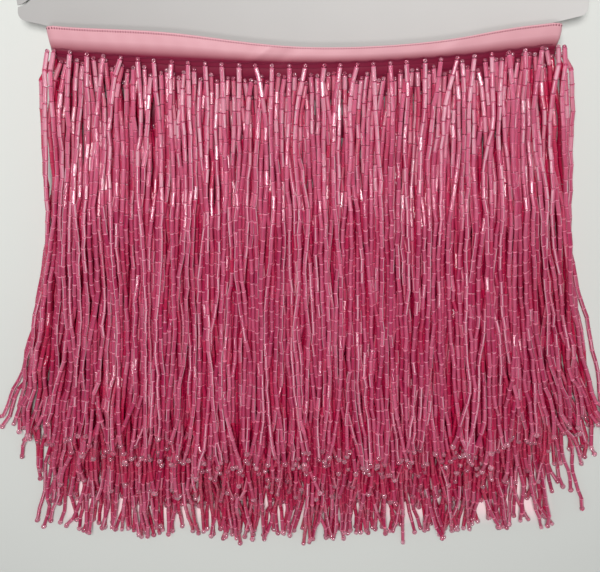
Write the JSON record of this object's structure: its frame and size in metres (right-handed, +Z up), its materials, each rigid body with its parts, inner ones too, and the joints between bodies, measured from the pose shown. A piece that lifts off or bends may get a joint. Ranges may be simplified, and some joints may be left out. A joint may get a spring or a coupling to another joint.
{
  "type": "roll of beaded fringe on a card",
  "caption": "Roll of pink beaded fringe: strands of bugle beads on a satin header ribbon, wound in turns round the neck of a winged white card and lying on its back.",
  "frame": {"origin": "middle of the bounding box, on the surface that the roll lies on", "axes": "+X along the header ribbon, to the right as seen from above with the card at the far side; +Y from the strands' ends towards the card's wings; +Z up from the surface"},
  "size_m": [0.3031, 0.2759, 0.0219],
  "materials": {
    "pink_glass_beads": "gloss",
    "pink_satin_ribbon": "satin",
    "white_card": "matt"
  },
  "bodies": {
    "root": {"winding_card": "white_card", "header_ribbon": "pink_satin_ribbon", "fringe_front_1": "pink_glass_beads", "fringe_front_2": "pink_glass_beads", "fringe_front_3": "pink_glass_beads", "fringe_front_4": "pink_glass_beads", "fringe_front_5": "pink_glass_beads", "fringe_back_1": "pink_glass_beads", "fringe_back_2": "pink_glass_beads", "fringe_back_3": "pink_glass_beads", "fringe_back_4": "pink_glass_beads"}
  },
  "joints": []
}
